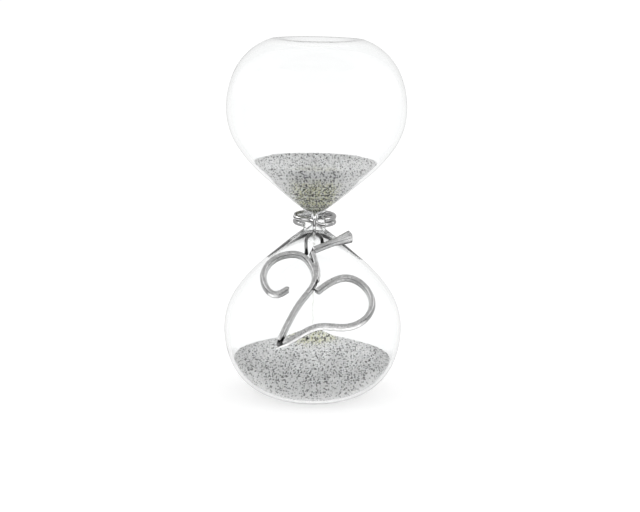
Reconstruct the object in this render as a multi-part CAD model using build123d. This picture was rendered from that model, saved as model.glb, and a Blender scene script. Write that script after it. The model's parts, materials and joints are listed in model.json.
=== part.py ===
"""Frameless blown-glass hourglass with a split ring, a jump ring and a cast number charm at its waist.

Frame: millimetres, Z up, origin at the centre of the flat foot. The charm hangs on the -Y side.
"""
import math
import os

from build123d import *

# ---- glass: two equal bulbs, blown apart and fused at the waist ----
# Points are (radius, distance from the neck plane).
NECK = 75.0  # height of the plane where the bulbs are fused, half of the whole height
BULB_RADIUS = 37.5
EQUATOR = 46.7  # distance from the neck plane to the widest circle of a bulb
WALL = 1.8
WAIST_RADIUS = 4.6
WAIST_HALF = 4.15  # half the length of the straight waist
BORE_RADIUS = 1.1
CONE_START = (9.0, 7.45)
CONE_END = (21.4, 18.0)
WAIST_BENDS = (1.2, 20.0)  # radii of the bends between the waist and the cone
SHOULDER = (32.4, 30.2)
BELLY = (35.0, 60.0)
HEEL = (22.0, 74.0)
FOOT_RADIUS = 19.5  # outer edge of the flat ring at each end
DISH_RADIUS = 15.0
DISH_DEPTH = 2.3

# ---- sand ----
FUNNEL_TIP = 3.4  # the upper charge ends where the bore begins
CRATER_RIM, CRATER_FLOOR = 28.1, 16.0
HEAP_APEX, HEAP_RIM = 46.5, 61.1
HEAP_SHOULDER = (12.0, 52.5)
STREAM_RADIUS = 0.6

# ---- split ring: one wire wound twice, climbing from the lower to the upper turn at the front ----
SPLIT_WIRE = 2.1
SPLIT_RADIUS = 8.1  # to the middle of the wire
TURN_LOW, TURN_HIGH = -0.85, 1.35  # heights of the two turns from the neck plane
CLIMB = 24.0  # degrees on either side of the front over which the wire climbs
WIRE_END = 30.0  # degrees from the front to each end of the wire
TIP_FORWARD = 2.5  # degrees that the ring's front hangs low

# ---- jump ring: one turn of wire in the YZ plane, round the climbing wire and over the lower bulb ----
JUMP_WIRE = 1.3
JUMP_RADIUS = 4.95  # to the middle of the wire
JUMP_LEAN = 64.0  # degrees from straight down, of the line from the climbing wire to the ring's centre
JUMP_PLAY = 0.3  # between the climbing wire and the inside of the jump ring
JUMP_SLIT = 2.5  # degrees

# ---- charm: a cast 2 and 5 that share strokes, drawn flat about the point where it hangs ----
CHARM_LEAN = 40.0  # degrees from vertical, with the lower end forward
CHARM_DEPTH = 2.6
STROKE = 2.6
LOOP_WIRE = 1.6
LOOP_RADIUS = 3.35
LOOP_PLAY = 0.05  # between the loop and the jump ring
TWO = [
    (-9.7, -23.5), (-15.3, -26.6), (-20.3, -19.0), (-17.0, -11.2), (-10.6, -8.1), (-4.4, -8.9),
    (-0.9, -13.0), (0.7, -18.6), (-4.5, -29.1), (-9.7, -39.2), (-13.6, -50.0),
]
BASE_AND_BOWL = [
    (-13.6, -50.0), (-6.0, -45.3), (2.7, -40.8), (14.0, -40.7), (20.6, -37.3), (24.0, -29.8),
    (20.6, -21.9), (13.6, -18.4), (7.0, -20.6), (1.0, -25.6),
]
STEM = [(-0.9, -6.2), (0.7, -11.6), (1.5, -16.2), (0.9, -21.0)]
FLAG = [(-0.9, -6.2), (4.0, -3.8), (9.5, -1.3), (15.6, 1.6)]
CLUB_RADIUS = 1.8  # the flag ends in a rounded club
LEFT_FOOT, RIGHT_FOOT = (-2.7, -7.2), (4.4, -3.8)  # where the loop's legs meet the strokes

UPWARD = Pos(0, 0, NECK) * Rot(90, 0, 0)  # stands a plan of (radius, distance) up on the neck plane
DOWNWARD = Pos(0, 0, NECK) * Rot(-90, 0, 0)
CONE_RUN = (CONE_END[0] - CONE_START[0], CONE_END[1] - CONE_START[1])
CONE_APEX = (0, CONE_START[1] - CONE_START[0] * CONE_RUN[1] / CONE_RUN[0])


def turned(plan):
    """The solid that the half of a plan to the right of the axis sweeps as it turns about the axis."""
    right = Pos(BULB_RADIUS, NECK / 2) * Rectangle(2 * BULB_RADIUS, 2 * NECK)
    return revolve(plan & right, Axis.Y)


def bulb_plan(lead):
    """The full section of a bulb, where LEAD runs from the neck plane to the end of the cone."""
    shoulder = TangentArc(CONE_END, SHOULDER, tangent=CONE_RUN)
    upper = TangentArc(SHOULDER, (BULB_RADIUS, EQUATOR), tangent=shoulder % 1)
    belly = TangentArc((BULB_RADIUS, EQUATOR), BELLY, tangent=upper % 1)
    heel = TangentArc(BELLY, HEEL, tangent=belly % 1)
    foot = Polyline(HEEL, (FOOT_RADIUS, NECK), (DISH_RADIUS, NECK))
    side = Curve() + [lead, shoulder, upper, belly, heel, foot]
    dish = ThreePointArc((DISH_RADIUS, NECK), (0, NECK - DISH_DEPTH), (-DISH_RADIUS, NECK))
    outline = side + mirror(side, Plane.YZ) + dish
    start = lead @ 0
    if start.X > 0:
        outline += Line(start, (-start.X, start.Y))
    return make_face(outline)


def wire(path, radius):
    """A round wire along a path."""
    return sweep(Plane(origin=path @ 0, z_dir=path % 0) * Circle(radius), path)


def save(name, shape):
    """Write one node and print its size."""
    solids = shape.solids()
    export_step(solids[0] if len(solids) == 1 else Compound(solids), f"parts/{name}.step")
    print(f"{name}: {len(solids)} solid, {shape.volume:.1f} mm3")


# Glass. The wall is even up to the cone, and thick at the waist, where the hollow narrows to the bore.
waist = FilletPolyline(
    (WAIST_RADIUS, 0), (WAIST_RADIUS, WAIST_HALF), CONE_START, CONE_END, radius=WAIST_BENDS
)
hollow_plan = offset(bulb_plan(Line(CONE_APEX, CONE_END)), amount=-WALL)
bore_plan = Pos(0, FUNNEL_TIP) * Rectangle(2 * BORE_RADIUS, 2 * FUNNEL_TIP)
bulb = turned(bulb_plan(waist)) - turned(hollow_plan) - turned(bore_plan)

# Sand: a cratered charge above, a heap below, and the stream between them.
crater_plan = make_face(Polyline(
    (0, FUNNEL_TIP), (0, CRATER_FLOOR), (BULB_RADIUS, CRATER_RIM), (BULB_RADIUS, FUNNEL_TIP), close=True
))
heap_plan = make_face(Polyline(
    (0, HEAP_APEX), HEAP_SHOULDER, (BULB_RADIUS, HEAP_RIM), (BULB_RADIUS, NECK), (0, NECK), close=True
))
upper_sand = UPWARD * turned(crater_plan & hollow_plan)
lower_sand = DOWNWARD * turned(heap_plan & hollow_plan)
stream_length = HEAP_APEX + FUNNEL_TIP
stream = Pos(0, 0, NECK + FUNNEL_TIP - stream_length / 2) * Cylinder(STREAM_RADIUS, stream_length)


# Split ring. Angles are from the front, positive to the right.
def level_turn(start, end, height):
    """A level arc of the split ring's middle line between two angles."""
    return CenterArc((0, 0, height), SPLIT_RADIUS, start - 90, end - start)


low_turn = level_turn(CLIMB, 360 - WIRE_END, TURN_LOW)
high_turn = level_turn(WIRE_END, 360 - CLIMB, TURN_HIGH)
climb = Spline(low_turn @ 0, high_turn @ 1, tangents=[-(low_turn % 0), -(high_turn % 1)])
tipped = Pos(0, 0, NECK) * Rot(TIP_FORWARD, 0, 0)
split_ring = tipped * (Part() + [wire(path, SPLIT_WIRE / 2) for path in (low_turn, climb, high_turn)])

# Jump ring. It turns about the middle of the climbing wire.
pivot = (tipped * Pos(climb @ 0.5)).position
reach = JUMP_RADIUS - JUMP_WIRE / 2 - SPLIT_WIRE / 2 - JUMP_PLAY
lean = math.radians(JUMP_LEAN)
jump_centre = pivot - Vector(0, math.sin(lean), math.cos(lean)) * reach
jump_plane = Plane(origin=jump_centre, x_dir=(0, 1, 0), z_dir=(1, 0, 0))
jump_ring = wire(jump_plane * CenterArc((0, 0), JUMP_RADIUS, JUMP_SLIT, 360 - JUMP_SLIT), JUMP_WIRE / 2)

# Charm. It turns about the point where the jump ring's wire passes through its loop.
tilt = math.radians(CHARM_LEAN)
hang = jump_centre - Vector(0, math.sin(tilt), math.cos(tilt)) * JUMP_RADIUS
charm_plane = Plane(origin=hang, x_dir=(1, 0, 0), z_dir=(0, -math.cos(tilt), math.sin(tilt)))
strokes = [trace(Spline(*points), line_width=STROKE) for points in (TWO, BASE_AND_BOWL, STEM, FLAG)]
rounds = [Pos(*point) * Circle(STROKE / 2) for point in (TWO[0], TWO[-1], STEM[0], BASE_AND_BOWL[-1])]
club = Pos(*FLAG[-1]) * Circle(CLUB_RADIUS)
numerals = extrude(Sketch() + strokes + rounds + club, CHARM_DEPTH / 2, both=True)
loop_top = JUMP_WIRE / 2 + LOOP_PLAY + LOOP_WIRE / 2
arch = CenterArc((0, loop_top - LOOP_RADIUS), LOOP_RADIUS, -10, 200)
loop = [wire(path, LOOP_WIRE / 2) for path in (arch, Line(arch @ 1, LEFT_FOOT), Line(arch @ 0, RIGHT_FOOT))]
knees = [Sphere(LOOP_WIRE / 2).moved(Location(arch @ end)) for end in (0, 1)]
charm = charm_plane * (numerals + loop + knees)

os.makedirs("parts", exist_ok=True)
save("upper_bulb", UPWARD * bulb)
save("lower_bulb", DOWNWARD * bulb)
save("upper_sand", upper_sand)
save("lower_sand", lower_sand)
save("sand_stream", stream - lower_sand)
save("split_ring", split_ring)
save("jump_ring", jump_ring)
save("number_charm", charm)

centre = charm.center(CenterOf.MASS)
print("jump ring turns about", pivot)
print("charm turns about", hang, "and its middle lies", charm_plane.to_local_coords(centre), "from there")
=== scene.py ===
"""A frameless blown-glass hourglass, running, with a cast number charm on a split ring round its waist.

Sizes are in millimetres. A mesh is drawn in millimetres too, and becomes metres when it is finished.
"""
import json
import logging
import math
import random
from collections.abc import Callable, Mapping, Sequence
from dataclasses import dataclass
from enum import Enum
from typing import Any

import bmesh
import bpy
from mathutils import Matrix, Vector, noise


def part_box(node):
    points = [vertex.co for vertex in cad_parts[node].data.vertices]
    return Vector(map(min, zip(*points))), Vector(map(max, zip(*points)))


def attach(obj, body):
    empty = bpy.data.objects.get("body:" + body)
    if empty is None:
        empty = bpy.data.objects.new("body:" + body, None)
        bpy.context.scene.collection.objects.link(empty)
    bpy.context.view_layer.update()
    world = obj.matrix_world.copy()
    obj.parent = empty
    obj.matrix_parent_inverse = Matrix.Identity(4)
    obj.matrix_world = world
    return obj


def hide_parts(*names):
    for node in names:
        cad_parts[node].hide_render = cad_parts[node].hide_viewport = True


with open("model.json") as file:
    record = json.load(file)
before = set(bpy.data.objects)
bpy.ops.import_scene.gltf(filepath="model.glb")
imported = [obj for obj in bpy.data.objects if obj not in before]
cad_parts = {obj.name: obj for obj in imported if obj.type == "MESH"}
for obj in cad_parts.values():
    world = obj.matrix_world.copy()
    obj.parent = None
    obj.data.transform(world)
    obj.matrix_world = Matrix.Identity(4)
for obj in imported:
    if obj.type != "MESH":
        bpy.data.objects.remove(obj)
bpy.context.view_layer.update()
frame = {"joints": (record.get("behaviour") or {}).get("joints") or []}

MM = 0.001
ACROSS = Vector((1.0, 0.0, 0.0))
DEPTH = Vector((0.0, 1.0, 0.0))
UP = Vector((0.0, 0.0, 1.0))
ARC_STEP = math.radians(3.0)  # the turn from one point of an arc to the next
TIGHT_ARC_POINTS = 5  # the fewest steps along an arc
FULL_TURN = 2 * math.pi
WELD = 0.001  # points nearer than this are one point

Point = tuple[float, float]
Span = tuple[float, float]
Colour = tuple[float, float, float]
Stops = tuple[tuple[float, Colour], ...]
Inputs = Mapping[str | int, Any]
log = logging.getLogger("hourglass")


class Body(Enum):
    """The bodies that move on their own."""

    GLASS = "glass"
    NECK_RING = "neck_ring"
    LINK = "link"
    CHARM = "charm"


class Slot(Enum):
    """The material slots that the record names."""

    CLEAR_GLASS = "clear_glass"
    BEAD_SAND = "bead_sand"
    BRIGHT_WIRE = "bright_wire"
    CAST_PEWTER = "cast_pewter"


# ---------------------------------------------------------------- shader graphs


class Signal:
    """A number on a socket. Arithmetic on it adds Math nodes."""

    def __init__(self, graph: "ShaderGraph", socket: bpy.types.NodeSocket) -> None:
        """Wrap a socket.

        Args:
            graph: The graph that the socket is in.
            socket: An output that carries a number.
        """
        self.graph = graph
        self.socket = socket

    def _math(self, operation: str, *values: Any) -> "Signal":
        """Add a Math node.

        Args:
            operation: The node's operation.
            values: What its inputs take, in order.

        Returns:
            The node's result.
        """
        made = self.graph.node("ShaderNodeMath", {"operation": operation}, dict(enumerate(values)))
        return Signal(self.graph, made.outputs[0])

    def __add__(self, other: Any) -> "Signal":
        """Self plus other."""
        return self._math("ADD", self, other)

    def __radd__(self, other: Any) -> "Signal":
        """Other plus self."""
        return self._math("ADD", other, self)

    def __sub__(self, other: Any) -> "Signal":
        """Self minus other."""
        return self._math("SUBTRACT", self, other)

    def __rsub__(self, other: Any) -> "Signal":
        """Other minus self."""
        return self._math("SUBTRACT", other, self)

    def __mul__(self, other: Any) -> "Signal":
        """Self times other."""
        return self._math("MULTIPLY", self, other)

    def __rmul__(self, other: Any) -> "Signal":
        """Other times self."""
        return self._math("MULTIPLY", other, self)

    def __abs__(self) -> "Signal":
        """The size of self, whatever its sign."""
        return self._math("ABSOLUTE", self)

    def root(self) -> "Signal":
        """The square root of self."""
        return self._math("SQRT", self)

    def within(self, low: float, high: float, soft: float) -> "Signal":
        """1 where self lies between two values, and 0 beyond them.

        Args:
            low: The lower value.
            high: The higher value.
            soft: How far the edges fade either way.

        Returns:
            A number from 0 to 1.
        """
        return self.rise(low - soft, low + soft) * self.rise(high + soft, high - soft)

    def rise(self, low: float, high: float) -> "Signal":
        """Self as a smooth step.

        Args:
            low: Where the step is 0.
            high: Where the step is 1. It may be under low.

        Returns:
            A number from 0 to 1.
        """
        made = self.graph.node(
            "ShaderNodeMapRange",
            {"interpolation_type": "SMOOTHSTEP"},
            {"Value": self, "From Min": low, "From Max": high},
        )
        return Signal(self.graph, made.outputs["Result"])


class ShaderGraph:
    """A material that is being put together from nodes."""

    def __init__(self, name: str) -> None:
        """Start an empty material.

        Args:
            name: The material's name.
        """
        self.material = bpy.data.materials.new(name)
        self.material.use_nodes = True
        self.tree = self.material.node_tree
        self.tree.nodes.clear()

    def node(self, kind: str, settings: Mapping[str, Any], inputs: Inputs) -> bpy.types.Node:
        """Add a node.

        Args:
            kind: The node's type.
            settings: The node's own settings, which are set first. Stops are a ramp's.
            inputs: A value or a link for each socket, by its name or its number.

        Returns:
            The node.
        """
        made = self.tree.nodes.new(kind)
        for key, value in settings.items():
            if key == "stops":
                self._set_stops(made.color_ramp, value)
            else:
                setattr(made, key, value)
        for key, value in inputs.items():
            if isinstance(value, Signal):
                value = value.socket
            if isinstance(value, bpy.types.NodeSocket):
                self.tree.links.new(value, made.inputs[key])
            else:
                made.inputs[key].default_value = value
        return made

    @staticmethod
    def _set_stops(ramp: bpy.types.ColorRamp, stops: Stops) -> None:
        """Give a ramp its stops.

        Args:
            ramp: The ramp.
            stops: Each stop's place and colour, in order.
        """
        while len(ramp.elements) < len(stops):
            ramp.elements.new(1.0)
        for element, (place, colour) in zip(ramp.elements, stops):
            element.position = place
            element.color = (*colour, 1.0)

    def place(self) -> bpy.types.NodeSocket:
        """Where a point is in the object's own frame, in metres."""
        return self.node("ShaderNodeTexCoord", {}, {}).outputs["Object"]

    def part_of_place(self) -> tuple[Signal, Signal, Signal]:
        """The three numbers of a point's place, in metres."""
        made = self.node("ShaderNodeSeparateXYZ", {}, {0: self.place()})
        return Signal(self, made.outputs[0]), Signal(self, made.outputs[1]), Signal(self, made.outputs[2])

    def attribute(self, name: str) -> Signal:
        """A number that the mesh holds.

        Args:
            name: The attribute's name.

        Returns:
            The number.
        """
        made = self.node("ShaderNodeAttribute", {"attribute_name": name}, {})
        return Signal(self, made.outputs["Fac"])

    def noise(self, size: float, detail: float = 2.0) -> Signal:
        """Soft noise.

        Args:
            size: How far apart its features are, in millimetres.
            detail: How many finer layers it has.

        Returns:
            A number about 0.5.
        """
        inputs = {"Vector": self.place(), "Scale": 1 / (size * MM), "Detail": detail}
        return Signal(self, self.node("ShaderNodeTexNoise", {}, inputs).outputs[0])

    def _cells(self, size: float) -> bpy.types.Node:
        """Split the object's space into cells the size of a grain, in millimetres."""
        inputs = {"Vector": self.place(), "Scale": 1 / (size * MM)}
        return self.node("ShaderNodeTexVoronoi", {}, inputs)

    def grains(self, size: float) -> Signal:
        """A number from 0 to 1 that is the same over each cell of a size in millimetres."""
        split = self.node("ShaderNodeSeparateColor", {}, {0: self._cells(size).outputs["Color"]})
        return Signal(self, split.outputs[0])

    def domes(self, size: float) -> Signal:
        """The distance from the middle of each cell of a size in millimetres, as a share of the cell."""
        return Signal(self, self._cells(size).outputs["Distance"])

    def ramp(self, value: Signal, stops: Stops) -> bpy.types.NodeSocket:
        """A colour for each value.

        Args:
            value: A number from 0 to 1.
            stops: Places and their colours.

        Returns:
            The colour.
        """
        return self.node("ShaderNodeValToRGB", {"stops": stops}, {0: value}).outputs[0]

    def mix(self, share: Signal, first: Any, second: Any) -> bpy.types.NodeSocket:
        """A blend of two colours.

        Args:
            share: How much of the second there is, from 0 to 1.
            first: The colour where the share is 0.
            second: The colour where the share is 1.

        Returns:
            The colour.
        """
        colours = [(*c, 1.0) if isinstance(c, tuple) else c for c in (first, second)]
        inputs = {"Factor": share, 6: colours[0], 7: colours[1]}
        return self.node("ShaderNodeMix", {"data_type": "RGBA"}, inputs).outputs[2]

    def bump(self, height: Signal, depth: float) -> bpy.types.NodeSocket:
        """The normal of a surface with some relief.

        Args:
            height: The relief, from 0 to 1.
            depth: How high 1 stands, in millimetres.

        Returns:
            The normal.
        """
        return self.node("ShaderNodeBump", {}, {"Height": height, "Distance": depth * MM}).outputs[0]

    def finish(self, shader: str, inputs: Inputs) -> bpy.types.Material:
        """Close the graph with its shader.

        Args:
            shader: The shader node's type.
            inputs: The shader's values and links.

        Returns:
            The material.
        """
        made = self.node(shader, {}, inputs)
        self.node("ShaderNodeOutputMaterial", {}, {"Surface": made.outputs[0]})
        return self.material


def grey(level: float) -> Colour:
    """A neutral colour of that brightness."""
    return level, level, level


@dataclass(frozen=True)
class ClearGlass:
    """Blown glass: clear, with the faint waves that blowing leaves."""

    tint: Colour = (0.975, 0.98, 0.98)
    ior: float = 1.3  # less than real glass, so that the cone below the waist stays light
    wave_size: float = 22.0
    wave_depth: float = 0.05

    def material(self) -> bpy.types.Material:
        """The material of the glass."""
        graph = ShaderGraph("clear_glass")
        return graph.finish("ShaderNodeBsdfPrincipled", {
            "Base Color": (*self.tint, 1.0),
            "Roughness": 0.0,
            "IOR": self.ior,
            "Transmission Weight": 1.0,
            "Normal": graph.bump(graph.noise(self.wave_size), self.wave_depth),
        })


@dataclass(frozen=True)
class BeadSand:
    """Silvered bead sand: pale beads with painted black shade in the gaps and painted white glints, and a
    pale yellow pool painted where the light gathers.
    """

    neck: float
    grain: float = 0.58
    relief: float = 0.12
    core: float = 9.0
    core_top: float = 19.0
    heap_core: float = 10.0
    fade: float = 3.0
    neck_fade: float = 1.0
    wander: float = 6.0
    wander_size: float = 3.0
    least_rough: float = 0.25
    tone_rough: float = 0.3
    # both ramps paint the shade in the gaps between beads black and the glints white, round the beads' own
    # pale colour
    silver_shade_and_glints: Stops = (
        (0.0, grey(0.04)), (0.16, grey(0.10)), (0.22, grey(0.78)), (0.5, grey(0.95)), (0.65, grey(1.0)),
    )
    # the colours of the beads inside the painted pool of gathered light
    painted_light_pool: Stops = (
        (0.0, grey(0.01)), (0.27, (0.03, 0.03, 0.02)), (0.35, (0.62, 0.62, 0.42)),
        (0.50, (1.0, 1.0, 0.72)), (0.62, (1.0, 1.0, 0.94)),
    )

    def _painted_light_pool_zone(self, graph: ShaderGraph) -> Signal:
        """Where a pale yellow pool of light is painted on the beads: about the axis in the upper bulb, and on
        the heap's top.
        """
        x, y, z = graph.part_of_place()
        wander = (graph.noise(self.wander_size) - 0.5) * (self.wander * MM)
        near = (abs(x) + wander).rise((self.core + self.fade) * MM, (self.core - self.fade) * MM)
        top = self.neck + self.core_top
        low = z.rise((top + self.fade) * MM, (top - self.fade) * MM)
        above = z.rise((self.neck - self.neck_fade) * MM, (self.neck + self.neck_fade) * MM)
        radius = (x * x + y * y).root() + wander
        cap = radius.rise((self.heap_core + self.fade) * MM, (self.heap_core - self.fade) * MM)
        return above * near * low + (1 - above) * cap

    def material(self) -> bpy.types.Material:
        """The material of the beads and of the charge behind them."""
        graph = ShaderGraph("bead_sand")
        own = graph.attribute("tone")
        without_beads = own.rise(0.002, 0.001)  # the charge holds no tone, so its cells make one up
        tone = own + graph.grains(self.grain) * without_beads
        silver_shade_and_glints, painted_light_pool = graph.ramp(tone, self.silver_shade_and_glints), graph.ramp(tone, self.painted_light_pool)
        return graph.finish("ShaderNodeBsdfPrincipled", {
            # the painted pool of light is laid over the painted shade and glints
            "Base Color": graph.mix(self._painted_light_pool_zone(graph), silver_shade_and_glints, painted_light_pool),
            "Roughness": self.least_rough + self.tone_rough * tone,
            "Normal": graph.bump(1 - graph.domes(self.grain), self.relief),
        })


@dataclass(frozen=True)
class BrightWire:
    """Drawn wire, plated bright, with fine marks along it."""

    dull: float = 0.72
    bright: float = 0.88
    mark_size: float = 0.5
    mark_detail: float = 4.0
    mark_depth: float = 0.02
    least_rough: float = 0.08
    mark_rough: float = 0.12

    def material(self) -> bpy.types.Material:
        """The material of the rings."""
        graph = ShaderGraph("bright_wire")
        marks = graph.noise(self.mark_size, self.mark_detail)
        return graph.finish("ShaderNodeBsdfPrincipled", {
            "Base Color": graph.mix(marks.rise(0.25, 0.75), grey(self.dull), grey(self.bright)),
            "Metallic": 1.0,
            "Roughness": self.least_rough + self.mark_rough * marks,
            "Normal": graph.bump(marks, self.mark_depth),
        })


@dataclass(frozen=True)
class CastPewter:
    """Cast pewter, tumbled bright on its faces and left black in its corners, with painted shade along its
    walls and back edge.
    """

    dull: float = 0.5
    bright: float = 0.7
    black: float = 0.015
    cloud_size: float = 1.6
    cloud_detail: float = 4.0
    grit_size: float = 0.35
    grit_detail: float = 3.0
    relief: float = 0.06
    hollow: Span = (0.49, 0.44)  # how hollow the skin is where patina starts, and where it is full
    hollow_share: float = 0.8
    cloud_share: float = 0.7
    patina_and_shade_from: Span = (0.25, 0.8)
    least_rough: float = 0.2
    grit_rough: float = 0.16
    patina_and_shade_rough: float = 0.25

    def material(self) -> bpy.types.Material:
        """The material of the charm."""
        graph = ShaderGraph("cast_pewter")
        cloud = graph.noise(self.cloud_size, self.cloud_detail)
        grit = graph.noise(self.grit_size, self.grit_detail)
        pointed = Signal(graph, graph.node("ShaderNodeNewGeometry", {}, {}).outputs["Pointiness"])
        hollow = pointed.rise(*self.hollow) * self.hollow_share
        # the mesh's attribute carries the corner patina and the painted shade along the walls and back edge
        patina = graph.attribute("patina") + hollow + (cloud - 0.5) * self.cloud_share
        patina = patina.rise(*self.patina_and_shade_from)
        bare = graph.mix(cloud.rise(0.3, 0.7), grey(self.dull), grey(self.bright))
        return graph.finish("ShaderNodeBsdfPrincipled", {
            "Base Color": graph.mix(patina, bare, grey(self.black)),
            "Metallic": 1.0,
            "Roughness": self.least_rough + self.grit_rough * grit + self.patina_and_shade_rough * patina,
            "Normal": graph.bump(0.6 * cloud + 0.4 * grit, self.relief),
        })


# ---------------------------------------------------------------- mesh work


def finished(
    bm: bmesh.types.BMesh, name: str, material: bpy.types.Material, place: Matrix | None = None
) -> bpy.types.Object:
    """Turn a drawn mesh into an object in metres.

    Args:
        bm: The mesh, in millimetres. It is freed.
        name: The object's name.
        material: The finish of the whole mesh.
        place: Where the mesh's own frame lies in the object's, in millimetres.

    Returns:
        The object, at the origin.
    """
    bmesh.ops.transform(bm, matrix=Matrix.Scale(MM, 4) @ (place or Matrix.Identity(4)), verts=bm.verts[:])
    for face in bm.faces:
        face.smooth = True
    mesh = bpy.data.meshes.new(name)
    bm.to_mesh(mesh)
    bm.free()
    mesh.materials.append(material)
    made = bpy.data.objects.new(name, mesh)
    bpy.context.scene.collection.objects.link(made)
    return made


def fit(piece: bpy.types.Object, body: Body, slot: Slot, *nodes: str) -> None:
    """Tie a piece to its body and the nodes that it stands for, and report it.

    Args:
        piece: The finished piece.
        body: The body that it moves with.
        slot: Its material slot. It is not used.
        nodes: The nodes that it stands for.
    """
    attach(piece, body.value)
    if nodes:
        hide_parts(*nodes)
    log.info("%s: %d faces, on %s", piece.name, len(piece.data.polygons), body.value)


class Profile:
    """Half of a turned shape's outline, in the XZ plane, drawn point by point from a vertex."""

    def __init__(self, start: Point) -> None:
        """Start the outline.

        Args:
            start: Its first point, as radius and height.
        """
        self.bm = bmesh.new()
        self.chain = [self.bm.verts.new((start[0], 0.0, start[1]))]

    def line_to(self, point: Point) -> None:
        """Draw a straight run to a point, as radius and height."""
        made = bmesh.ops.extrude_vert_indiv(self.bm, verts=[self.chain[-1]])["verts"][0]
        made.co = (point[0], 0.0, point[1])
        self.chain.append(made)

    def arc_to(self, point: Point, heading: Vector) -> Vector:
        """Draw an arc that sets out along a heading.

        Args:
            point: The arc's end, as radius and height.
            heading: The direction at its start.

        Returns:
            The direction at its end.
        """
        start = self.chain[-1].co.copy()
        chord = Vector((point[0], 0.0, point[1])) - start
        side = DEPTH.cross(heading)
        centre = start + side * (chord.length_squared / (2 * side.dot(chord)))
        turn = 2 * math.atan2(heading.cross(chord).dot(DEPTH), heading.dot(chord))
        steps = max(TIGHT_ARC_POINTS, math.ceil(abs(turn) / ARC_STEP))
        known = len(self.bm.verts)
        bmesh.ops.spin(
            self.bm, geom=[self.chain[-1]], cent=centre, axis=DEPTH, dvec=(0, 0, 0), angle=turn, steps=steps
        )
        self.bm.verts.ensure_lookup_table()
        self.chain += self.bm.verts[known:]
        return Matrix.Rotation(turn, 3, DEPTH) @ heading

    def bend(self, corner: Point, onward: Point, radius: float) -> Vector:
        """Draw a run towards a corner and round it.

        Args:
            corner: The corner.
            onward: The next point after it.
            radius: The radius of the bend.

        Returns:
            The direction after the bend.
        """
        middle = Vector((corner[0], 0.0, corner[1]))
        inward = (middle - self.chain[-1].co).normalized()
        outward = (Vector((onward[0], 0.0, onward[1])) - middle).normalized()
        reach = radius * math.tan(inward.angle(outward) / 2)
        start, end = middle - inward * reach, middle + outward * reach
        self.line_to((start.x, start.z))
        return self.arc_to((end.x, end.z), inward)

    def shift(self, distance: float) -> None:
        """Move the outline sideways, outwards where the distance is positive."""
        points = [vert.co.copy() for vert in self.chain]
        for index, vert in enumerate(self.chain):
            sides = [
                DEPTH.cross(points[b] - points[a]).normalized()
                for a, b in ((index - 1, index), (index, index + 1))
                if a >= 0 and b < len(points)
            ]
            vert.co += (sides[0] + sides[-1]) * (distance / (1 + sides[0].dot(sides[-1])))

    def cut(self, where: Point, facing: Point, first_run_only: bool = False) -> None:
        """Cut away what lies beyond a straight line across the outline.

        Args:
            where: A point on the line.
            facing: The direction of what is cut away.
            first_run_only: True to cut the first run alone.
        """
        verts = self.chain[:2] if first_run_only else self.chain
        edges = [edge for edge in self.bm.edges if all(vert in verts for vert in edge.verts)]
        bmesh.ops.bisect_plane(
            self.bm,
            geom=[*verts, *edges],
            plane_co=(where[0], 0.0, where[1]),
            plane_no=(facing[0], 0.0, facing[1]),
            clear_outer=True,
        )
        self.chain = self._walked()

    def _walked(self) -> list[bmesh.types.BMVert]:
        """The outline's points in order, from the end that is nearer the axis's lower part."""
        ends = [vert for vert in self.bm.verts if len(vert.link_edges) == 1]
        chain = [min(ends, key=lambda vert: abs(vert.co.z))]
        seen = set(chain)
        while True:
            onward = [edge.other_vert(chain[-1]) for edge in chain[-1].link_edges]
            onward = [vert for vert in onward if vert not in seen]
            if not onward:
                return chain
            chain.append(onward[0])
            seen.add(onward[0])

    def points(self) -> list[Vector]:
        """The outline's points in order. The outline is freed."""
        found = [vert.co.copy() for vert in self.chain]
        self.bm.free()
        return found

    def turned(self, steps: int, mirrored: bool = False) -> bmesh.types.BMesh:
        """Turn the outline about the axis.

        Args:
            steps: How many steps make the full turn.
            mirrored: True to add the outline's mirror image below it first.

        Returns:
            The closed shape, facing outwards.
        """
        bm = self.bm
        if mirrored:
            half = [*bm.verts, *bm.edges]
            bmesh.ops.mirror(bm, geom=half, matrix=Matrix.Identity(4), merge_dist=WELD, axis="Z")
        bmesh.ops.spin(
            bm,
            geom=[*bm.verts, *bm.edges],
            cent=(0, 0, 0),
            axis=UP,
            dvec=(0, 0, 0),
            angle=FULL_TURN,
            steps=steps,
            use_merge=True,
        )
        bmesh.ops.remove_doubles(bm, verts=bm.verts[:], dist=WELD)
        bmesh.ops.recalc_face_normals(bm, faces=bm.faces[:])
        return bm


def smooth_path(points: Sequence[Point], spacing: float) -> list[Vector]:
    """A smooth line through points, laid flat.

    Args:
        points: The points that it goes through.
        spacing: About how far apart the points of the line are.

    Returns:
        Points along the line.
    """
    knots = [Vector((*point, 0.0)) for point in points]
    gaps = [(b - a).length for a, b in zip(knots, knots[1:])]
    slopes = [(b - a) / gap for a, b, gap in zip(knots, knots[1:], gaps)]
    bends = _natural_bends(gaps, slopes)
    line = []
    for a, b, gap, start, end in zip(knots, knots[1:], gaps, bends, bends[1:]):
        count = max(2, round(gap / spacing))
        for step in range(count):
            t = step / count
            u = 1 - t
            lift = (u ** 3 - u) * start + (t ** 3 - t) * end
            line.append(a * u + b * t + lift * (gap * gap / 6))
    return [*line, knots[-1]]


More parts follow.
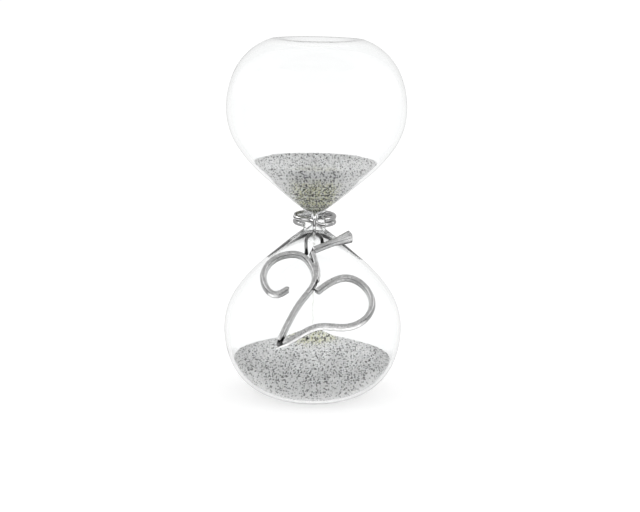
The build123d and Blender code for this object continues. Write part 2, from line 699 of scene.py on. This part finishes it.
def _natural_bends(gaps: Sequence[float], slopes: Sequence[Vector]) -> list[Vector]:
    """The second derivative of a natural cubic at each of its knots.

    Args:
        gaps: The length of each span.
        slopes: The slope of each span's chord.

    Returns:
        One vector for each knot.
    """
    inner = len(gaps) - 1
    diagonal, right = [], []
    for index in range(inner):
        pivot = 2 * (gaps[index] + gaps[index + 1])
        known = (slopes[index + 1] - slopes[index]) * 6
        if index:
            share = gaps[index] / diagonal[-1]
            pivot -= share * gaps[index]
            known -= right[-1] * share
        diagonal.append(pivot)
        right.append(known)
    bends = [Vector((0.0, 0.0, 0.0))]
    for index in reversed(range(inner)):
        bends.append((right[index] - bends[-1] * gaps[index + 1]) / diagonal[index])
    return [bends[0], *reversed(bends[1:]), bends[0]]


def frames_along(path: Sequence[Vector]) -> list[Matrix]:
    """A frame at each point of a path: X to its left, Y up, Z onwards."""
    frames = []
    for before, here, after in zip([path[0], *path], path, [*path[1:], path[-1]]):
        onward = (after - before).normalized()
        left = UP.cross(onward).normalized()
        up = onward.cross(left)
        turn = Matrix((left, up, onward)).transposed().to_4x4()
        frames.append(Matrix.Translation(here) @ turn)
    return frames


def sweep(
    bm: bmesh.types.BMesh,
    path: Sequence[Vector],
    section: Callable[[bmesh.types.BMesh], list[bmesh.types.BMVert]],
    swell: Callable[[float], float],
) -> None:
    """Draw a closed bar along a path.

    Args:
        bm: The mesh that gains the bar.
        path: The path.
        section: Adds the bar's section to a mesh as one face in the XY plane, and returns its corners.
        swell: The section's scale at each distance along the path.
    """
    frames = frames_along(path)
    corners = section(bm)
    face = corners[0].link_faces[0]
    distance = 0.0
    last = frames[0] @ Matrix.Scale(swell(0.0), 4)
    bmesh.ops.transform(bm, matrix=last, verts=corners)
    for before, here, place in zip(path, path[1:], frames[1:]):
        distance += (here - before).length
        made = bmesh.ops.extrude_face_region(bm, geom=[face])["geom"]
        face = next(item for item in made if isinstance(item, bmesh.types.BMFace))
        now = place @ Matrix.Scale(swell(distance), 4)
        bmesh.ops.transform(bm, matrix=now @ last.inverted(), verts=face.verts[:])
        last = now


def path_length(path: Sequence[Vector]) -> float:
    """How long a path is."""
    return sum((b - a).length for a, b in zip(path, path[1:]))


def round_section(radius: float, segments: int) -> Callable[[bmesh.types.BMesh], list[bmesh.types.BMVert]]:
    """A round section for a sweep.

    Args:
        radius: The section's radius.
        segments: How many sides it has.

    Returns:
        A function that adds the section to a mesh.
    """

    def add(bm: bmesh.types.BMesh) -> list[bmesh.types.BMVert]:
        """Add the section and return its corners."""
        return bmesh.ops.create_circle(bm, cap_ends=True, segments=segments, radius=radius)["verts"]

    return add


def same_size(distance: float) -> float:
    """A bar's scale where it doesn't swell."""
    return 1.0


# ---------------------------------------------------------------- the hourglass


@dataclass
class GlassEnvelope:
    """Two equal bulbs, blown and fused at the waist. Points are radius and distance from the neck plane."""

    material: bpy.types.Material
    neck: float
    wall: float = 1.2  # thinner than the 1.8 of the two nodes, so that the cone stays light
    waist_radius: float = 4.6
    waist_half: float = 4.15
    waist_bend: float = 1.2
    cone_bend: float = 20.0
    bore_radius: float = 1.1
    cone_start: Point = (9.0, 7.45)
    cone_end: Point = (21.4, 18.0)
    shoulder: Point = (32.4, 30.2)
    equator: Point = (37.5, 46.7)
    belly: Point = (35.0, 60.0)
    heel: Point = (22.0, 74.0)
    foot_radius: float = 19.5
    dish_radius: float = 15.0
    dish_depth: float = 2.3
    steps: int = 144

    @property
    def cone_heading(self) -> Vector:
        """The direction up the cone."""
        run = Vector(self.cone_end) - Vector(self.cone_start)
        return Vector((run.x, 0.0, run.y)).normalized()

    @property
    def cone_apex(self) -> Point:
        """Where the cone's side would meet the axis."""
        slope = self.cone_heading.z / self.cone_heading.x
        return 0.0, self.cone_start[1] - self.cone_start[0] * slope

    def bulb_side(self, profile: Profile) -> None:
        """Carry a profile that has reached the cone's end round the bulb, to the middle of the foot."""
        heading = profile.arc_to(self.shoulder, self.cone_heading)
        heading = profile.arc_to(self.equator, heading)
        heading = profile.arc_to(self.belly, heading)
        profile.arc_to(self.heel, heading)
        profile.line_to((self.foot_radius, self.neck))
        profile.line_to((self.dish_radius, self.neck))
        half_angle = 2 * math.atan(self.dish_depth / self.dish_radius)
        inward = Vector((-math.cos(half_angle), 0.0, -math.sin(half_angle)))
        profile.arc_to((0.0, self.neck - self.dish_depth), inward)

    def outside(self) -> Profile:
        """The outline of the outer surface, from the neck plane to the middle of the foot."""
        profile = Profile((self.waist_radius, 0.0))
        profile.bend((self.waist_radius, self.waist_half), self.cone_start, self.waist_bend)
        profile.bend(self.cone_start, self.cone_end, self.cone_bend)
        profile.line_to(self.cone_end)
        self.bulb_side(profile)
        return profile

    def inside(self, gap: float = 0.0, least_radius: float | None = None) -> Profile:
        """The outline of the hollow, from the end of the bore to the middle of the foot.

        Args:
            gap: How far within the hollow the outline lies.
            least_radius: Where the cone ends, the bore's radius if it isn't given.

        Returns:
            The outline.
        """
        profile = Profile(self.cone_apex)
        profile.line_to(self.cone_end)
        self.bulb_side(profile)
        profile.shift(-self.wall - gap)
        profile.cut((least_radius or self.bore_radius, 0.0), (-1.0, 0.0), first_run_only=True)
        return profile

    def build(self) -> bpy.types.Object:
        """Make the outer surface and the hollow, and dress the piece."""
        outer = self.outside().turned(self.steps, mirrored=True)
        hollow = self.inside()
        first = hollow.chain[0]
        bore = bmesh.ops.extrude_vert_indiv(hollow.bm, verts=[first])["verts"][0]
        bore.co = (self.bore_radius, 0.0, 0.0)
        inner = hollow.turned(self.steps, mirrored=True)
        bmesh.ops.reverse_faces(inner, faces=inner.faces[:])
        shell = bpy.data.meshes.new("hollow")
        inner.to_mesh(shell)
        inner.free()
        outer.from_mesh(shell)
        bpy.data.meshes.remove(shell)
        piece = finished(outer, "glass_envelope", self.material, Matrix.Translation((0, 0, self.neck)))
        fit(piece, Body.GLASS, Slot.CLEAR_GLASS, "upper_bulb", "lower_bulb")
        return piece


@dataclass
class SandCharges:
    """Bead sand part way through a run: a charge with a crater above, a heap below, and a stream between."""

    glass: GlassEnvelope
    material: bpy.types.Material
    bead: float = 0.62
    backing_gap: float = 0.5
    bead_gap: float = 0.32
    tip_radius: float = 0.9
    crater_floor: float = 16.0
    crater_rim: Point = (37.5, 28.1)
    heap_apex: float = 46.5
    heap_shoulder: Point = (12.0, 52.5)
    heap_rim: Point = (37.5, 61.1)
    heap_bend: float = 24.0
    lump: float = 0.5
    lump_size: float = 7.0
    stream_top: float = 4.6
    stream_radius: float = 0.5
    bore_gaps: Span = (0.05, 0.2)
    stream_gaps: Span = (0.3, 1.1)
    bore_tones: Span = (0.25, 1.0)
    stream_tones: Span = (0.7, 1.0)
    tones: Span = (0.01, 1.0)
    bead_radii: Span = (0.44, 0.54)  # as shares of a bead, like the two below
    stream_radii: Span = (0.40, 0.5)
    stray: float = 0.25
    angle_stray: float = 0.3
    lift_stray: float = 0.6
    sectors: int = 12
    seed: int = 25
    steps: int = 120

    def __post_init__(self) -> None:
        """Start the one source of random numbers."""
        self.chance = random.Random(self.seed)

    def build(self) -> list[bpy.types.Object]:
        """Make the two charges, the beads on them and the stream."""
        neck = Matrix.Translation((0, 0, self.glass.neck))
        turned_over = neck @ Matrix.Rotation(math.pi, 4, "X")
        pieces = []
        for name, node, place, wall, top in (
            ("upper_charge", "upper_sand", neck, self._upper_wall(self.backing_gap), self._crater()),
            ("lower_heap", "lower_sand", turned_over, self._lower_wall(self.backing_gap), self._heap()),
        ):
            backing = self._backing(wall, top, name == "upper_charge")
            self._settle(backing, max(point.x for point in top))
            piece = finished(backing, name, self.material, place)
            fit(piece, Body.GLASS, Slot.BEAD_SAND, node)
            pieces.append(piece)
            for part, line, lift in (("wall", self._bead_line(name), 0.0), ("top", top, self.bead / 2)):
                pieces.append(self._bead_layer(f"{name}_{part}_beads", line, lift, place))
        pieces.append(self._stream(neck))
        return pieces

    def _upper_wall(self, gap: float) -> list[Vector]:
        """The side of the upper charge from its tip to its rim, a gap within the hollow."""
        profile = self.glass.inside(gap, self.tip_radius)
        slope = Vector((self.crater_rim[0], self.crater_rim[1] - self.crater_floor))
        profile.cut((0.0, self.crater_floor), (-slope.y, slope.x))
        return profile.points()

    def _lower_wall(self, gap: float) -> list[Vector]:
        """The side of the heap from its rim to the middle of the floor, a gap within the hollow."""
        profile = self.glass.inside(gap)
        slope = Vector(self.heap_rim) - Vector(self.heap_shoulder)
        profile.cut(self.heap_shoulder, (slope.y, -slope.x))
        return profile.points()

    def _bead_line(self, name: str) -> list[Vector]:
        """The line that the middles of the outermost beads keep to, beside the glass."""
        if name == "upper_charge":
            return self._upper_wall(self.bead_gap)
        whole = self._lower_wall(self.bead_gap)
        return [point for point in whole if point.x > self.glass.foot_radius]

    def _crater(self) -> list[Vector]:
        """The top of the upper charge, from its rim to the axis."""
        rim = self._upper_wall(self.backing_gap)[-1]
        return [rim, Vector((0.0, 0.0, self.crater_floor))]

    def _heap(self) -> list[Vector]:
        """The top of the heap, from the axis to its rim, with the shoulder eased."""
        rim = self._lower_wall(self.backing_gap)[0]
        profile = Profile((0.0, self.heap_apex))
        profile.bend(self.heap_shoulder, (rim.x, rim.z), self.heap_bend)
        profile.line_to((rim.x, rim.z))
        return profile.points()

    def _backing(self, wall: Sequence[Vector], top: Sequence[Vector], upper: bool) -> bmesh.types.BMesh:
        """The charge behind the beads.

        Args:
            wall: Its side.
            top: Its top.
            upper: True for the upper charge, whose side starts at its tip.

        Returns:
            The closed shape.
        """
        line = [*wall, *top[1:]] if upper else [*top[:-1], *wall]
        if upper:
            line.insert(0, Vector((0.0, 0.0, line[0].z)))
        profile = Profile((line[0].x, line[0].z))
        for point in line[1:]:
            profile.line_to((point.x, point.z))
        return profile.turned(self.steps)

    def _settle(self, bm: bmesh.types.BMesh, rim: float) -> None:
        """Make a top a little uneven, and leave its rim where it is.

        Args:
            bm: The mesh that holds the top.
            rim: The rim's radius.
        """
        for vert in bm.verts:
            spread = min(math.hypot(vert.co.x, vert.co.y) / rim, 1.0)
            place = Vector((vert.co.x, vert.co.y, rim)) / self.lump_size
            vert.co.z += noise.noise(place) * self.lump * (1 - spread * spread)

    def _stray(self, reach: float) -> float:
        """A random distance either way."""
        return self.chance.uniform(-reach, reach)

    def _bead_layer(
        self, name: str, line: Sequence[Vector], lift: float, place: Matrix
    ) -> bpy.types.Object:
        """Lay beads over a turned surface, in rows along its outline.

        Args:
            name: The name of the piece.
            line: The outline.
            lift: How far the highest beads stand off it. It is 0 beside the glass.
            place: Where the charge's frame lies.

        Returns:
            The piece.
        """
        bm = bmesh.new()
        tone = bm.verts.layers.float.new("tone")
        sector = FULL_TURN / self.sectors
        for point, normal in self._rows(line):
            count = max(1, round(point.x * sector / self.bead))
            for index in range(count):
                angle = (index + 0.5 + self._stray(self.angle_stray)) / count * sector
                along = Vector((normal.z, 0.0, -normal.x)) * self._stray(self.stray) * self.bead
                middle = point + along + normal * (lift * self._stray(self.lift_stray))
                spot = Matrix.Rotation(angle, 4, "Z") @ Matrix.Translation(middle)
                radius = self.bead * self.chance.uniform(*self.bead_radii)
                self._bead(bm, radius, spot, tone, self.chance.uniform(*self.tones))
        bmesh.ops.spin(
            bm,
            geom=[*bm.verts, *bm.edges, *bm.faces],
            cent=(0, 0, 0),
            axis=UP,
            dvec=(0, 0, 0),
            angle=FULL_TURN - sector,
            steps=self.sectors - 1,
            use_duplicate=True,
        )
        if lift:
            self._settle(bm, max(point.x for point in line))
        piece = finished(bm, name, self.material, place)
        fit(piece, Body.GLASS, Slot.BEAD_SAND)
        return piece

    @staticmethod
    def _bead(
        bm: bmesh.types.BMesh, radius: float, spot: Matrix, tone: bmesh.types.BMLayerItem, number: float
    ) -> None:
        """Add one bead.

        Args:
            bm: The mesh that gains it.
            radius: Its radius.
            spot: Its place.
            tone: The layer that holds each bead's own number.
            number: That number, from just over 0, black, to 1, white.
        """
        for vert in bmesh.ops.create_icosphere(bm, subdivisions=1, radius=radius, matrix=spot)["verts"]:
            vert[tone] = number

    def _rows(self, line: Sequence[Vector]) -> list[tuple[Vector, Vector]]:
        """Evenly spaced points along an outline, each with the direction that faces out of the sand."""
        rows = []
        left_over = self.bead / 2
        for a, b in zip(line, line[1:]):
            run = (b - a).length
            normal = DEPTH.cross(b - a).normalized()
            distance = left_over
            while distance < run:
                rows.append((a.lerp(b, distance / run), normal))
                distance += self.bead
            left_over = distance - run
        return rows

    def _stream(self, place: Matrix) -> bpy.types.Object:
        """The beads that fall from the bore to the heap's top."""
        bm = bmesh.new()
        tone = bm.verts.layers.float.new("tone")
        height = self.stream_top
        while height > -self.heap_apex:
            radius = self.chance.uniform(0.0, self.stream_radius)
            angle = self.chance.uniform(0.0, FULL_TURN)
            middle = Vector((radius * math.cos(angle), radius * math.sin(angle), height))
            in_bore = height > 0
            number = self.chance.uniform(*(self.bore_tones if in_bore else self.stream_tones))
            size = self.bead * self.chance.uniform(*self.stream_radii)
            self._bead(bm, size, Matrix.Translation(middle), tone, number)
            height -= self.chance.uniform(*(self.bore_gaps if in_bore else self.stream_gaps))
        piece = finished(bm, "falling_stream", self.material, place)
        fit(piece, Body.GLASS, Slot.BEAD_SAND, "sand_stream")
        return piece


@dataclass
class SplitRing:
    """One wire wound twice round the waist, climbing from its lower to its upper turn at the front."""

    material: bpy.types.Material
    neck: float
    wire: float = 2.1
    radius: float = 8.1
    turn_low: float = -0.85
    turn_high: float = 1.35
    climb: float = 24.0
    wire_end: float = 30.0
    tip_forward: float = 2.5
    step: float = 3.0
    segments: int = 28

    def _at(self, degrees: float, height: float) -> Vector:
        """A point of the wire's middle line, by its angle from the front."""
        angle = math.radians(degrees)
        return Vector((self.radius * math.sin(angle), -self.radius * math.cos(angle), height))

    def _height(self, degrees: float) -> float:
        """The wire's height at an angle from the front of the lower turn, all the way round twice."""
        rise = self.turn_high - self.turn_low
        share = (self.climb - degrees) / (2 * self.climb)
        share = min(max(share, 0.0), 1.0)
        return self.turn_low + rise * share * share * (3 - 2 * share)

    def build(self) -> bpy.types.Object:
        """Make the ring and dress it."""
        start, end = 360.0 - self.wire_end, self.wire_end - 360.0
        count = round((start - end) / self.step)
        angles = [start + (end - start) * index / count for index in range(count + 1)]
        path = [self._at(angle, self._height(angle)) for angle in angles]
        bm = bmesh.new()
        sweep(bm, path, round_section(self.wire / 2, self.segments), same_size)
        bmesh.ops.recalc_face_normals(bm, faces=bm.faces[:])
        self._ease_ends(bm)
        tipped = Matrix.Rotation(math.radians(self.tip_forward), 4, "X")
        place = Matrix.Translation((0, 0, self.neck)) @ tipped
        piece = finished(bm, "split_ring_wire", self.material, place)
        fit(piece, Body.NECK_RING, Slot.BRIGHT_WIRE, "split_ring")
        return piece

    def _ease_ends(self, bm: bmesh.types.BMesh) -> None:
        """Take the sharpness off the wire's two cut ends."""
        caps = [face for face in bm.faces if len(face.verts) == self.segments]
        edges = [edge for face in caps for edge in face.edges]
        bmesh.ops.bevel(
            bm, geom=edges, affect="EDGES", offset=self.wire / 8, segments=2, profile=0.5, material=-1
        )


@dataclass
class JumpRing:
    """One turn of wire that joins the charm's loop to the split ring."""

    material: bpy.types.Material
    centre: Vector
    wire: float = 1.3
    radius: float = 4.95
    slit: float = 2.5
    step: float = 5.0
    segments: int = 24

    def build(self) -> bpy.types.Object:
        """Make the ring in its upright plane and dress it."""
        start, end = self.slit, 360.0 - self.slit
        count = round((end - start) / self.step)
        angles = [math.radians(start + (end - start) * index / count) for index in range(count + 1)]
        path = [Vector((self.radius * math.cos(a), self.radius * math.sin(a), 0.0)) for a in angles]
        bm = bmesh.new()
        sweep(bm, path, round_section(self.wire / 2, self.segments), same_size)
        bmesh.ops.recalc_face_normals(bm, faces=bm.faces[:])
        upright = Matrix((DEPTH, UP, ACROSS)).transposed().to_4x4()
        piece = finished(bm, "jump_ring_wire", self.material, Matrix.Translation(self.centre) @ upright)
        fit(piece, Body.LINK, Slot.BRIGHT_WIRE, "jump_ring")
        return piece


class End(Enum):
    """How a stroke ends."""

    ROUND = "round"
    POINT = "point"
    CLUB = "club"


@dataclass(frozen=True)
class Stroke:
    """A stroke's middle line and its two ends."""

    points: tuple[Point, ...]
    start: End
    end: End


@dataclass
class NumberCharm:
    """A cast 2 and 5 that share strokes, drawn flat about the point where the charm hangs."""

    material: bpy.types.Material
    hang: Vector
    facing: Vector
    depth: float = 2.6
    face_width: float = 1.5
    back_width: float = 2.9
    squareness: float = 0.93
    blunt: float = 0.06
    two: tuple[Point, ...] = (
        (-9.7, -23.5), (-15.3, -26.6), (-20.3, -19.0), (-17.0, -11.2), (-10.6, -8.1), (-4.4, -8.9),
        (-0.9, -13.0), (0.7, -18.6), (-4.5, -29.1), (-9.7, -39.2), (-14.2, -50.8),
    )
    base_and_bowl: tuple[Point, ...] = (
        (-14.2, -50.8), (-6.0, -45.3), (2.7, -40.8), (14.0, -40.7), (20.6, -37.3), (24.0, -29.8),
        (20.6, -21.9), (13.6, -18.4), (7.0, -20.6), (1.0, -25.6),
    )
    stem: tuple[Point, ...] = ((-0.9, -6.2), (0.7, -11.6), (1.5, -16.2), (0.9, -21.0))
    flag: tuple[Point, ...] = ((-0.9, -6.2), (4.0, -3.8), (9.5, -1.3), (15.6, 1.6))
    club_swell: float = 1.75
    club_share: float = 0.55
    point_taper: float = 5.0
    point_scale: float = 0.3
    loop_wire: float = 1.6
    loop_radius: float = 3.35
    loop_top: float = 1.5
    loop_sweep: int = 200
    loop_step: int = 10
    left_foot: Point = (-3.0, -8.2)
    right_foot: Point = (4.4, -3.8)
    corners: tuple[Point, ...] = ((-2.9, -8.2), (2.0, -21.6), (-11.8, -46.8), (4.2, -3.0))
    corner_reach: float = 1.6
    corner_at_face: float = 0.45
    back_edge: float = 0.78
    # a band of painted shade along the walls, as depths from the face, and how black it and the back edge are
    # painted
    painted_shade_band: Span = (0.12, 0.3)
    painted_shade_black: float = 0.6
    spacing: float = 0.9
    voxel: float = 0.2
    soften: float = 0.5
    soften_rounds: int = 2
    section_points: int = 24

    def _section(self, bm: bmesh.types.BMesh) -> list[bmesh.types.BMVert]:
        """Add the section of a stroke: a draughted bar with eased corners, narrower at its face."""
        verts = bmesh.ops.create_circle(bm, cap_ends=True, segments=self.section_points, radius=1.0)["verts"]
        for vert in verts:
            square = max(abs(vert.co.x), abs(vert.co.y)) ** self.squareness
            vert.co.x /= square
            vert.co.y /= square
            face_share = (vert.co.y + 1) / 2
            width = self.back_width + (self.face_width - self.back_width) * face_share
            vert.co.x *= width / 2
            vert.co.y *= self.depth / 2
        return verts

    def _stroke(self, bm: bmesh.types.BMesh, stroke: Stroke) -> None:
        """Draw one stroke.

        Args:
            bm: The mesh that gains it.
            stroke: Its middle line and its ends.
        """
        path = smooth_path(stroke.points, self.spacing)
        length = path_length(path)

        def end_scale(distance: float, end: End) -> float:
            """The section's scale at a distance from an end."""
            if end is End.POINT:
                share = min(distance / self.point_taper, 1.0)
                return self.point_scale + (1 - self.point_scale) * share
            near = min(distance / (self.face_width / 2), 1.0)
            rounding = math.sqrt(max(1 - (1 - near) ** 2, self.blunt))
            if end is End.ROUND:
                return rounding
            far = max(1 - distance / (length * self.club_share), 0.0)
            return rounding * (1 + (self.club_swell - 1) * far * far * (3 - 2 * far))

        def swell(distance: float) -> float:
            """The section's scale at a distance along the stroke."""
            return end_scale(distance, stroke.start) * end_scale(length - distance, stroke.end)

        sweep(bm, path, self._section, swell)

    def _loop(self, bm: bmesh.types.BMesh) -> None:
        """Draw the hanging loop, from its left foot over the top to its right foot."""
        centre = Vector((0.0, self.loop_top - self.loop_radius, 0.0))
        start = 90 + self.loop_sweep // 2
        count = self.loop_sweep // self.loop_step
        angles = [math.radians(start - self.loop_step * index) for index in range(count + 1)]
        arch = [centre + Vector((math.cos(a), math.sin(a), 0.0)) * self.loop_radius for a in angles]
        path = [Vector((*self.left_foot, 0.0)), *arch, Vector((*self.right_foot, 0.0))]
        sweep(bm, path, round_section(self.loop_wire / 2, self.section_points), same_size)

    def _patina_and_painted_shade(self, mesh: bpy.types.Mesh) -> None:
        """Store how black each point is: patina most in corners, then under the face, and painted shade along
        a band of the walls and at the back.
        """
        layer = mesh.attributes.new("patina", "FLOAT", "POINT")
        for vert, value in zip(mesh.vertices, layer.data):
            nearest = min((Vector(vert.co[:2]) - Vector(corner)).length for corner in self.corners)
            depth = 0.5 - vert.co.z / self.depth
            sunk = self.corner_at_face + (1 - self.corner_at_face) * min(depth * 2, 1.0)
            corner = math.exp(-((nearest / self.corner_reach) ** 2)) * sunk
            # painted shade: a dark line along a band of the walls near the face, and a dark back edge
            painted_shade_here = depth > self.back_edge or self.painted_shade_band[0] < depth < self.painted_shade_band[1]
            value.value = corner + (self.painted_shade_black if painted_shade_here else 0.0)

    def build(self) -> bpy.types.Object:
        """Cast the strokes and the loop as one, and dress the piece."""
        bm = bmesh.new()
        for stroke in (
            Stroke(self.two, End.ROUND, End.POINT),
            Stroke(self.base_and_bowl, End.POINT, End.ROUND),
            Stroke(self.stem, End.ROUND, End.ROUND),
            Stroke(self.flag, End.ROUND, End.CLUB),
        ):
            self._stroke(bm, stroke)
        self._loop(bm)
        bmesh.ops.recalc_face_normals(bm, faces=bm.faces[:])
        rough = bpy.data.meshes.new("charm_strokes")
        bm.to_mesh(rough)
        bm.free()
        cast = self._cast_as_one(rough)
        self._patina_and_painted_shade(cast)
        uphill = self.facing.cross(ACROSS)
        lying = Matrix((ACROSS, uphill, self.facing)).transposed().to_4x4()
        bm = bmesh.new()
        bm.from_mesh(cast)
        bpy.data.meshes.remove(cast)
        piece = finished(bm, "number_charm_cast", self.material, Matrix.Translation(self.hang) @ lying)
        fit(piece, Body.CHARM, Slot.CAST_PEWTER, "number_charm")
        return piece

    def _cast_as_one(self, rough: bpy.types.Mesh) -> bpy.types.Mesh:
        """Melt crossing strokes into one skin.

        Args:
            rough: The strokes, each a closed bar. It is removed.

        Returns:
            The skin.
        """
        mould = bpy.data.objects.new("mould", rough)
        bpy.context.scene.collection.objects.link(mould)
        remesh = mould.modifiers.new("skin", "REMESH")
        remesh.mode = "VOXEL"
        remesh.voxel_size = self.voxel
        soften = mould.modifiers.new("soften", "SMOOTH")
        soften.factor = self.soften
        soften.iterations = self.soften_rounds
        graph = bpy.context.evaluated_depsgraph_get()
        cast = bpy.data.meshes.new_from_object(mould.evaluated_get(graph))
        bpy.data.objects.remove(mould)
        bpy.data.meshes.remove(rough)
        return cast


# ---------------------------------------------------------------- studio


@dataclass
class Studio:
    """A pale floor, even light, and cards that only shiny surfaces see."""

    neck: float
    elevation: float = 11.25
    roll: float = 1.1
    distance: float = 672.0
    aim_right: float = 2.27
    aim_up: float = -15.5
    lens: float = 90.0
    sensor: float = 36.0
    bounces: int = 32
    sky: float = 1.02
    floor_glow: float = 0.66
    floor_greys: Span = (0.38, 0.40)
    floor_size: float = 40000.0
    floor_clouds: float = 400.0
    dome_radius: float = 6000.0
    brightest_card: float = 2.0
    darkest_stop: float = 0.02
    lamp_places: tuple[tuple[float, float, float], ...] = (
        (-1100.0, -900.0, 1300.0), (1200.0, -500.0, 1100.0),
    )
    lamp_size: float = 900.0
    lamp_watts: float = 5.0

    def build(self) -> None:
        """Set up the camera, then the light, the floor and the cards."""
        scene = bpy.context.scene
        scene.view_settings.view_transform = "Standard"
        scene.cycles.max_bounces = self.bounces
        scene.cycles.glossy_bounces = self.bounces
        scene.cycles.transmission_bounces = self.bounces
        self._camera()
        self._sky()
        self._floor()
        self._cards()
        for place in self.lamp_places:
            self._lamp(Vector(place))
        log.info("studio ready")

    def _camera(self) -> None:
        """Put up the camera, a little above the neck and a little rolled."""
        tilt, roll = math.radians(self.elevation), math.radians(self.roll)
        onward = Vector((0.0, math.cos(tilt), -math.sin(tilt)))
        up = Vector((0.0, math.sin(tilt), math.cos(tilt)))
        right = ACROSS * math.cos(roll) + up * math.sin(roll)
        head = up * math.cos(roll) - ACROSS * math.sin(roll)
        middle = UP * self.neck + right * self.aim_right + head * self.aim_up
        data = bpy.data.cameras.new("camera")
        data.lens, data.sensor_width = self.lens, self.sensor
        camera = bpy.data.objects.new("camera", data)
        turn = Matrix((right, head, -onward)).transposed().to_4x4()
        camera.matrix_world = Matrix.Translation((middle - onward * self.distance) * MM) @ turn
        bpy.context.scene.collection.objects.link(camera)
        bpy.context.scene.camera = camera

    def _sky(self) -> None:
        """Light everything evenly from all round."""
        world = bpy.data.worlds.new("studio")
        world.use_nodes = True
        background = world.node_tree.nodes["Background"]
        background.inputs["Color"].default_value = (1.0, 1.0, 1.0, 1.0)
        background.inputs["Strength"].default_value = self.sky
        bpy.context.scene.world = world

    def _floor(self) -> None:
        """Lay the floor."""
        bm = bmesh.new()
        bmesh.ops.create_grid(bm, x_segments=2, y_segments=2, size=self.floor_size / 2)
        graph = ShaderGraph("pale_floor")
        cloud = graph.noise(self.floor_clouds)
        dark, light = self.floor_greys
        material = graph.finish("ShaderNodeBsdfPrincipled", {
            "Base Color": graph.mix(cloud.rise(0.3, 0.7), grey(dark), grey(light)),
            "Roughness": 0.9,
            "Specular IOR Level": 0.0,
            "Emission Color": (1.0, 1.0, 1.0, 1.0),
            "Emission Strength": self.floor_glow,
        })
        floor = finished(bm, "floor", material)
        floor.visible_glossy = False

    def _cards(self) -> None:
        """Hang the surroundings that show in glass and metal alone."""
        bm = bmesh.new()
        bmesh.ops.create_uvsphere(bm, u_segments=48, v_segments=24, radius=self.dome_radius)
        graph = ShaderGraph("cards")
        share = 1 / (self.dome_radius * MM)
        x, y, z = graph.part_of_place()
        side, front, height = abs(x) * share, y * -share, z * share
        level = self._card_level(side, front, height) * (1 / self.brightest_card)
        material = graph.finish("ShaderNodeEmission", {
            "Color": graph.ramp(level, ((0.0, grey(self.darkest_stop)), (1.0, grey(1.0)))),
            "Strength": self.brightest_card,
        })
        material.cycles.emission_sampling = "NONE"
        dome = finished(bm, "cards", material)
        dome.visible_camera = False
        dome.visible_diffuse = False
        dome.visible_transmission = False
        dome.visible_volume_scatter = False
        dome.visible_shadow = False

    @staticmethod
    def _card_level(side: Signal, front: Signal, height: Signal) -> Signal:
        """How bright the surroundings are in each direction, where 1 is white.

        Args:
            side: How far a direction points to either side, from 0 to 1.
            front: How far it points to the front, from -1 to 1.
            height: How far it points up, from -1 to 1.

        Returns:
            The brightness.
        """
        overhead = height.rise(0.74, 0.86)
        behind = front.rise(-0.35, -0.6) * height.within(-0.8, 0.74, 0.1)
        around = front.within(-0.35, 0.9, 0.05) * height.within(-0.6, 0.6, 0.08)
        strips = side.rise(0.6, 0.75) * height.within(0.05, 0.55, 0.05)
        underneath = height.rise(-0.55, -0.75)
        dim = 0.45 * overhead + 0.45 * behind + 0.95 * around
        return 1.0 - dim + 0.8 * strips + 0.7 * underneath

    def _lamp(self, place: Vector) -> None:
        """Hang a large soft lamp that faces the waist.

        Args:
            place: Where it hangs.
        """
        data = bpy.data.lights.new("soft_lamp", "AREA")
        data.size = self.lamp_size * MM
        data.energy = self.lamp_watts
        lamp = bpy.data.objects.new("soft_lamp", data)
        facing = (place - UP * self.neck).to_track_quat("Z", "Y").to_matrix().to_4x4()
        lamp.matrix_world = Matrix.Translation(place * MM) @ facing
        lamp.visible_camera = False
        bpy.context.scene.collection.objects.link(lamp)


def joint(name: str) -> Mapping[str, Any]:
    """The joint of that name."""
    return next(item for item in frame["joints"] if item["name"] == name)


def middle_of(node: str) -> Vector:
    """The middle of a node's box, in millimetres."""
    low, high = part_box(node)
    return (low + high) / 2 / MM


def main() -> None:
    """Build the studio, then each sub-assembly in turn."""
    logging.basicConfig(level=logging.INFO, format="%(message)s")
    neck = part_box("upper_bulb")[0].z / MM
    Studio(neck).build()
    glass = GlassEnvelope(ClearGlass().material(), neck)
    glass.build()
    SandCharges(glass, BeadSand(neck=neck).material()).build()
    wire = BrightWire().material()
    SplitRing(wire, neck).build()
    JumpRing(wire, middle_of("jump_ring")).build()
    swing = joint("charm_swing")
    NumberCharm(CastPewter().material(), Vector(swing["pos_m"]) / MM, Vector(swing["axis"])).build()


if __name__ == "__main__":
    main()
